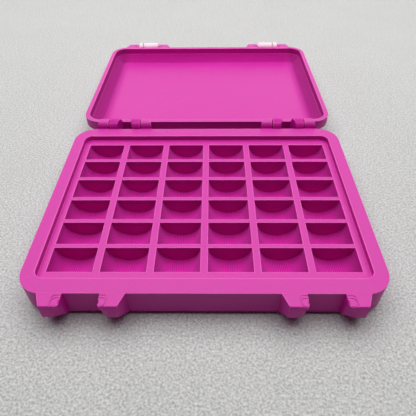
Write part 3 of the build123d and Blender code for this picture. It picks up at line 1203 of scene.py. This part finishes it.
class CASE_OT_lid(bpy.types.Operator):
    """Models the lid: a pan with sloping sides, latch ribs and hinge knuckles"""

    bl_idname = "bobbin_case.lid"
    bl_label = "Lid"

    def execute(self, context):
        scene = context.scene
        sizes = scene.bobbin_case_sizes
        layout = Layout(sizes)
        straight = sizes.lid_height - sizes.lid_chamfer
        lid = add_body("lid_pan", 1, straight, sizes.lid_chamfer, sizes, layout)
        slope_run = sizes.lid_height - sizes.rib_front_height
        root = sizes.lid_chamfer + sizes.rib_root
        ribs = add_ribs("lid_ribs", 1, slope_run, root, sizes.lid_height, sizes, layout)
        combine(lid, ribs, "UNION")
        combine(lid, add_lid_knuckles(sizes, layout), "UNION")
        inner_straight = sizes.lid_height - sizes.lid_panel - sizes.lid_inner_chamfer
        hollow_out(lid, 1, layout.lid_opening, inner_straight, sizes, sizes.lid_inner_chamfer)
        plastic = printed_plastic(
            scene,
            "lid_plastic",
            scene.bobbin_case_colours.case,
            layout,
            layout.lid_place,
            layout.outline,
            layout.lid_opening,
            layout.tray_drop,
            slope=(inner_straight, inner_straight + sizes.lid_inner_chamfer),
        )
        finish_piece(lid, layout.lid_place, "lid", plastic, ["lid"])
        return {"FINISHED"}


def add_latch(name, outward, sizes, layout):
    """One latch about its own axis; outward is the side, +1 or -1, that its slit lies on."""
    side = sizes.rib_gap / 2 - sizes.latch_side_gap
    barrel = sizes.latch_barrel
    arm = sizes.latch_arm_inner
    first = -atan2(sqrt(barrel**2 - arm**2), arm)
    turns = [first + (pi - first) * index / ARC_SEGMENTS for index in range(ARC_SEGMENTS + 1)]
    tab = sizes.tab_height - sizes.latch_end_drop
    latch = draw_prism(
        name,
        [(barrel * cos(turn), barrel * sin(turn)) for turn in turns]
        + [
            (-barrel, tab),
            (-barrel - sizes.tab_flare, -sizes.latch_end_drop),
            (arm - sizes.latch_lead, -sizes.latch_end_drop),
            (arm, sizes.latch_lead - sizes.latch_end_drop),
        ],
        "X",
        -side,
        side,
    )
    bevel_edges(latch, sizes.edge_rounding, is_sharp)
    slit_outer = outward * (side - sizes.slit_from_side)
    slit_inner = slit_outer - outward * sizes.slit_width
    past_barrel = barrel + OVERCUT
    slit_bottom = barrel - sizes.slit_depth
    slit = draw_prism(
        "slit",
        [
            (-past_barrel, slit_bottom),
            (past_barrel, slit_bottom),
            (past_barrel, past_barrel),
            (-past_barrel, past_barrel),
        ],
        "X",
        slit_inner,
        slit_outer,
    )
    combine(latch, slit, "DIFFERENCE")
    nubs = (
        ("pivot_nub", 0, 0, sizes.pivot_nub_radius, sizes.pivot_nub_height),
        ("catch_nub", layout.catch_y, layout.catch_z, sizes.catch_nub_radius, sizes.catch_nub_height),
    )
    for hand in (-1, 1):
        for label, y, z, radius, height in nubs:
            nub = add_cone(label, hand * side, y, z, hand, radius, height, sizes.nub_play)
            combine(latch, nub, "UNION")
    return latch


class CASE_OT_latches(bpy.types.Operator):
    """Models the two latches that hang in the lid's ribs"""

    bl_idname = "bobbin_case.latches"
    bl_label = "Latches"

    def execute(self, context):
        scene = context.scene
        sizes = scene.bobbin_case_sizes
        layout = Layout(sizes)
        plastic = printed_plastic(
            scene,
            "latch_plastic",
            scene.bobbin_case_colours.latch,
            layout,
            layout.latch_place,
            (sizes.rib_gap / 2, sizes.latch_end_drop, 0.0),
            (sizes.rib_gap, sizes.latch_end_drop, 0.0),
            -2 * sizes.latch_end_drop,
        )
        for node, outward in (("latch_left", -1), ("latch_right", 1)):
            latch = add_latch(f"{node}_piece", outward, sizes, layout)
            place = Matrix.Translation((outward * layout.station_x, 0, 0)) @ layout.latch_place
            finish_piece(latch, place, node, plastic, [node])
        return {"FINISHED"}


class CASE_PT_panel(bpy.types.Panel):
    """Lists the case's pieces in the sidebar"""

    bl_idname = "CASE_PT_panel"
    bl_label = "Bobbin case"
    bl_space_type = "VIEW_3D"
    bl_region_type = "UI"
    bl_category = "Bobbin case"

    def draw(self, context):
        for operator in (CASE_OT_stage, CASE_OT_base, CASE_OT_lid, CASE_OT_latches):
            self.layout.operator(operator.bl_idname)
        self.layout.prop(context.scene.bobbin_case_colours, "case")
        self.layout.prop(context.scene.bobbin_case_colours, "latch")


CLASSES = (
    CaseSizes,
    CaseColours,
    PrintFinish,
    StageSettings,
    CASE_OT_stage,
    CASE_OT_base,
    CASE_OT_lid,
    CASE_OT_latches,
    CASE_PT_panel,
)


def register():
    """Registers the classes and hangs the settings on the scene."""
    for cls in CLASSES:
        bpy.utils.register_class(cls)
    bpy.types.Scene.bobbin_case_sizes = PointerProperty(type=CaseSizes)
    bpy.types.Scene.bobbin_case_colours = PointerProperty(type=CaseColours)
    bpy.types.Scene.bobbin_case_finish = PointerProperty(type=PrintFinish)
    bpy.types.Scene.bobbin_case_stage = PointerProperty(type=StageSettings)


def unregister():
    """Takes the settings and the classes away again."""
    del bpy.types.Scene.bobbin_case_stage
    del bpy.types.Scene.bobbin_case_finish
    del bpy.types.Scene.bobbin_case_colours
    del bpy.types.Scene.bobbin_case_sizes
    for cls in reversed(CLASSES):
        bpy.utils.unregister_class(cls)


def main():
    """Models everything."""
    register()
    bpy.ops.bobbin_case.stage()
    bpy.ops.bobbin_case.base()
    bpy.ops.bobbin_case.lid()
    bpy.ops.bobbin_case.latches()


if __name__ == "__main__":
    main()
